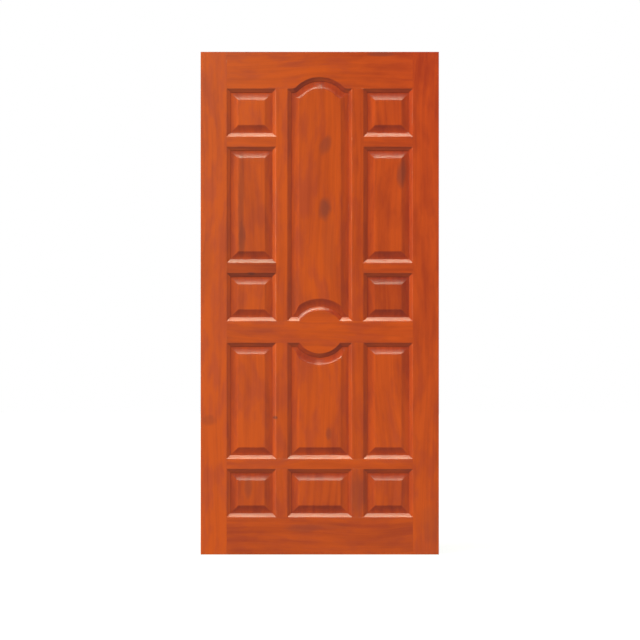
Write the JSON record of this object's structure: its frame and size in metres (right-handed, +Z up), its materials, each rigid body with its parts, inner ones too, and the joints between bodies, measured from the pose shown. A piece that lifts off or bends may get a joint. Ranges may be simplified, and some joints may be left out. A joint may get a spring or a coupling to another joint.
{
  "type": "raised-panel door leaf",
  "caption": "Varnished wooden door leaf of stiles, rails and muntins with floating raised panels, an ogee arch over the upper centre panel and round humps on the lock rail.",
  "frame": {"origin": "middle of the leaf's foot: halfway across its width and its thickness, on the floor plane", "axes": "+Z up along the stiles, -Y out of the face that the picture shows, +X to the right of that face"},
  "size_m": [1, 0.035, 2.11],
  "materials": {
    "stile_wood": "gloss varnish",
    "rail_wood": "gloss varnish",
    "muntin_wood": "gloss varnish",
    "panel_wood": "gloss varnish"
  },
  "bodies": {
    "root": {"left_stile": "stile_wood", "right_stile": "stile_wood", "top_rail": "rail_wood", "lock_rail": "rail_wood", "lower_rail": "rail_wood", "bottom_rail": "rail_wood", "high_left_cross_rail": "rail_wood", "low_left_cross_rail": "rail_wood", "high_right_cross_rail": "rail_wood", "low_right_cross_rail": "rail_wood", "upper_left_muntin": "muntin_wood", "upper_right_muntin": "muntin_wood", "lower_left_muntin": "muntin_wood", "lower_right_muntin": "muntin_wood", "bottom_left_muntin": "muntin_wood", "bottom_right_muntin": "muntin_wood", "top_left_panel": "panel_wood", "upper_left_panel": "panel_wood", "middle_left_panel": "panel_wood", "lower_left_panel": "panel_wood", "bottom_left_panel": "panel_wood", "top_right_panel": "panel_wood", "upper_right_panel": "panel_wood", "middle_right_panel": "panel_wood", "lower_right_panel": "panel_wood", "bottom_right_panel": "panel_wood", "arched_panel": "panel_wood", "lower_centre_panel": "panel_wood", "bottom_centre_panel": "panel_wood"}
  },
  "joints": []
}
